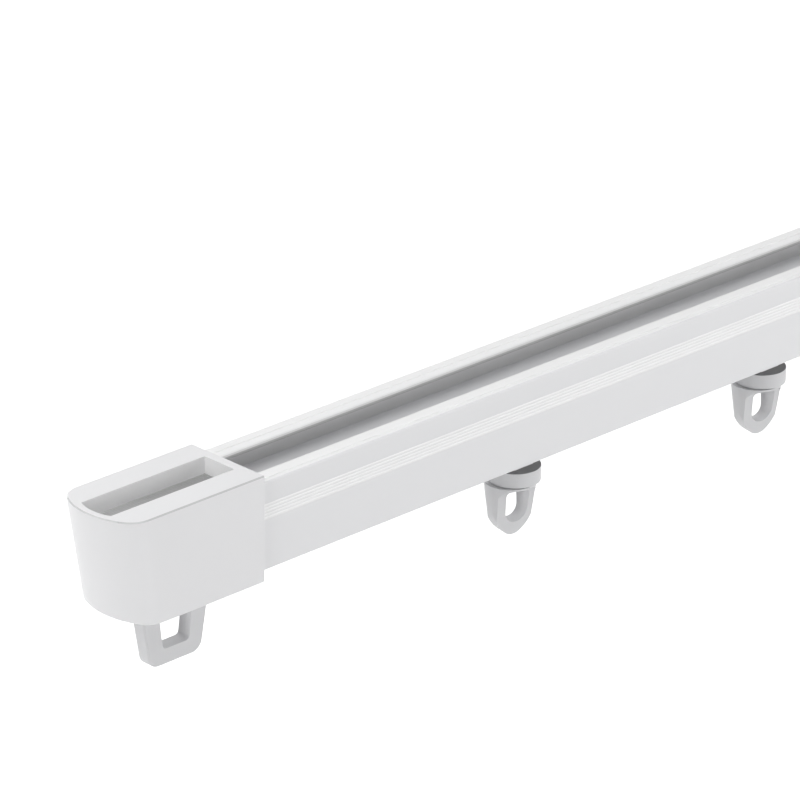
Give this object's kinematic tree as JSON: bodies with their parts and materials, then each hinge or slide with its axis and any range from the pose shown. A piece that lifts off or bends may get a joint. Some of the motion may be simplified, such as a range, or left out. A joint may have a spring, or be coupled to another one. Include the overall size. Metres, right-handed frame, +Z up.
{
  "type": "curtain track",
  "caption": "Straight white curtain track with an open clip channel, curved sleeve end caps with end eyes, and wheeled gliders with swivelling eyes.",
  "frame": {"origin": "middle of the clip channel's mouth, on the track's top plane, half way along the track", "axes": "+X along the track towards its right end, +Y to the back, +Z up towards the ceiling"},
  "size_m": [0.425, 0.0194, 0.0375],
  "materials": {
    "white_powder_coat": "white powder coat, satin",
    "white_cap_plastic": "moulded white, semi-gloss",
    "white_eye_plastic": "moulded white, semi-gloss",
    "white_glider_plastic": "moulded white, semi-gloss",
    "wheel_nylon": "moulded natural nylon",
    "steel": "bright drawn wire"
  },
  "bodies": {
    "track": {"track_profile": "white_powder_coat", "end_cap_left": "white_cap_plastic", "end_cap_right": "white_cap_plastic", "end_eye_left": "white_eye_plastic", "end_eye_right": "white_eye_plastic"},
    "glider_1": {"glider_1_carriage": "white_glider_plastic"},
    "glider_1_wheels": {"glider_1_axle": "steel", "glider_1_wheel_front": "wheel_nylon", "glider_1_wheel_back": "wheel_nylon"},
    "glider_1_eye": {"glider_1_eye": "white_eye_plastic"},
    "glider_2": {"glider_2_carriage": "white_glider_plastic"},
    "glider_2_wheels": {"glider_2_axle": "steel", "glider_2_wheel_front": "wheel_nylon", "glider_2_wheel_back": "wheel_nylon"},
    "glider_2_eye": {"glider_2_eye": "white_eye_plastic"},
    "glider_3": {"glider_3_carriage": "white_glider_plastic"},
    "glider_3_wheels": {"glider_3_axle": "steel", "glider_3_wheel_front": "wheel_nylon", "glider_3_wheel_back": "wheel_nylon"},
    "glider_3_eye": {"glider_3_eye": "white_eye_plastic"},
    "glider_4": {"glider_4_carriage": "white_glider_plastic"},
    "glider_4_wheels": {"glider_4_axle": "steel", "glider_4_wheel_front": "wheel_nylon", "glider_4_wheel_back": "wheel_nylon"},
    "glider_4_eye": {"glider_4_eye": "white_eye_plastic"}
  },
  "joints": [
    {"name": "glider_1_slide", "type": "slide", "parent": "track", "child": "glider_1", "axis": [1, 0, 0], "range_m": [-0.071, 0.0575]},
    {"name": "glider_1_wheel_spin", "type": "hinge", "parent": "glider_1", "child": "glider_1_wheels", "pos_m": [-0.105, 0, -0.01185], "axis": [0, 1, 0], "continuous": true},
    {"name": "glider_1_eye_swivel", "type": "hinge", "parent": "glider_1", "child": "glider_1_eye", "pos_m": [-0.105, 0, -0.02467], "axis": [0, 0, 1], "continuous": true},
    {"name": "glider_2_slide", "type": "slide", "parent": "track", "child": "glider_2", "axis": [1, 0, 0], "range_m": [-0.0575, 0.0575]},
    {"name": "glider_2_wheel_spin", "type": "hinge", "parent": "glider_2", "child": "glider_2_wheels", "pos_m": [-0.035, 0, -0.01185], "axis": [0, 1, 0], "continuous": true},
    {"name": "glider_2_eye_swivel", "type": "hinge", "parent": "glider_2", "child": "glider_2_eye", "pos_m": [-0.035, 0, -0.02467], "axis": [0, 0, 1], "continuous": true},
    {"name": "glider_3_slide", "type": "slide", "parent": "track", "child": "glider_3", "axis": [1, 0, 0], "range_m": [-0.0575, 0.0575]},
    {"name": "glider_3_wheel_spin", "type": "hinge", "parent": "glider_3", "child": "glider_3_wheels", "pos_m": [0.035, 0, -0.01185], "axis": [0, 1, 0], "continuous": true},
    {"name": "glider_3_eye_swivel", "type": "hinge", "parent": "glider_3", "child": "glider_3_eye", "pos_m": [0.035, 0, -0.02467], "axis": [0, 0, 1], "continuous": true},
    {"name": "glider_4_slide", "type": "slide", "parent": "track", "child": "glider_4", "axis": [1, 0, 0], "range_m": [-0.0575, 0.071]},
    {"name": "glider_4_wheel_spin", "type": "hinge", "parent": "glider_4", "child": "glider_4_wheels", "pos_m": [0.105, 0, -0.01185], "axis": [0, 1, 0], "continuous": true},
    {"name": "glider_4_eye_swivel", "type": "hinge", "parent": "glider_4", "child": "glider_4_eye", "pos_m": [0.105, 0, -0.02467], "axis": [0, 0, 1], "continuous": true}
  ],
  "couplings": [
    {"joint": "glider_1_wheel_spin", "follows": "glider_1_slide", "rad_per_m": 238.1},
    {"joint": "glider_2_wheel_spin", "follows": "glider_2_slide", "rad_per_m": 238.1},
    {"joint": "glider_3_wheel_spin", "follows": "glider_3_slide", "rad_per_m": 238.1},
    {"joint": "glider_4_wheel_spin", "follows": "glider_4_slide", "rad_per_m": 238.1}
  ]
}
